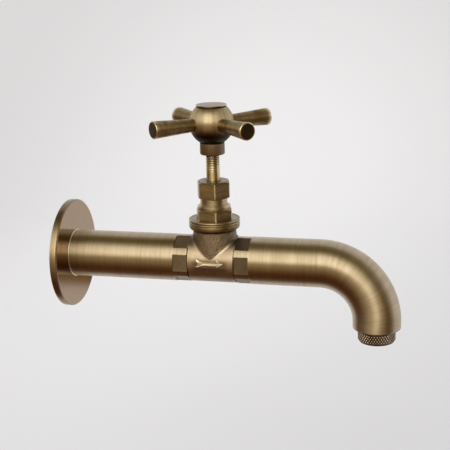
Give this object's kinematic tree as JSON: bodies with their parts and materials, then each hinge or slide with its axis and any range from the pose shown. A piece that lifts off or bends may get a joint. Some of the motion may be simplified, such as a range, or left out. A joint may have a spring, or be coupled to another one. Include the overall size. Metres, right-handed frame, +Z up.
{
  "type": "cross handle tap",
  "caption": "Wall-mounted antique brass tap: straight inlet tube with a round wall flange, globe valve worked by a cross handle on a rising spindle, bent spout and screw-in aerator.",
  "frame": {"origin": "centre of the inlet's mouth, in the plane of the wall that the flange lies on", "axes": "+X out of the wall along the tubes to the spout, +Z up along the spindle, spout pointing down, +Y completes a right-handed frame"},
  "size_m": [0.2019, 0.065, 0.1372],
  "materials": {
    "satin_brass": "antique brass, brushed round the tube and lacquered satin",
    "disc_brass": "antique brass, satin polished so that it mirrors the tube softly",
    "cast_brass": "antique brass, sand-cast grain with turned and worn edges",
    "turned_brass": "antique brass, turned, dark in the corners and bright on worn edges",
    "plain_brass": "plain machined brass",
    "black_rubber": "moulded black rubber",
    "grey_fibre": "pressed fibre sheet",
    "white_packing": "plaited white packing",
    "white_plastic": "moulded white plastic",
    "steel_screen": "pierced stainless sheet"
  },
  "bodies": {
    "tap_body": {"wall_flange": "disc_brass", "wall_flange_seal": "black_rubber", "inlet_tube": "satin_brass", "inlet_socket": "plain_brass", "inlet_washer": "black_rubber", "valve_body": "cast_brass", "bonnet_gasket": "grey_fibre", "bonnet": "turned_brass", "gland_packing": "white_packing", "gland_follower": "plain_brass", "gland_nut": "turned_brass", "spout_tube": "satin_brass", "spout_end_bush": "plain_brass"},
    "jumper": {"jumper": "plain_brass", "seat_washer": "black_rubber", "washer_nut": "plain_brass"},
    "handle": {"spindle": "plain_brass", "handle_hub": "turned_brass", "handle_arm_1": "turned_brass", "handle_arm_2": "turned_brass", "handle_arm_3": "turned_brass", "handle_arm_4": "turned_brass", "handle_screw_washer": "plain_brass", "handle_screw": "plain_brass", "handle_cap": "turned_brass"},
    "aerator_insert": {"aerator_washer": "black_rubber", "aerator_cartridge": "white_plastic", "aerator_screen": "steel_screen"},
    "aerator_ring": {"aerator_ring": "turned_brass"}
  },
  "joints": [
    {"name": "jumper_lift", "type": "slide", "parent": "tap_body", "child": "jumper", "axis": [0, 0, 1], "range_m": [0, 0.006]},
    {"name": "handle_turn", "type": "hinge", "parent": "jumper", "child": "handle", "pos_m": [0.0922, 0, 0.0815], "axis": [0, 0, 1], "range_deg": [0, 900]},
    {"name": "aerator_drop", "type": "slide", "parent": "tap_body", "child": "aerator_insert", "axis": [0, 0, -1], "range_m": [0, 0.0035]},
    {"name": "aerator_turn", "type": "hinge", "parent": "aerator_insert", "child": "aerator_ring", "pos_m": [0.1879, 0, -0.0412], "axis": [0, 0, -1], "range_deg": [0, 1260]}
  ],
  "couplings": [
    {"joint": "handle_turn", "follows": "jumper_lift", "rad_per_m": 2618},
    {"joint": "aerator_turn", "follows": "aerator_drop", "rad_per_m": 6283.2}
  ]
}
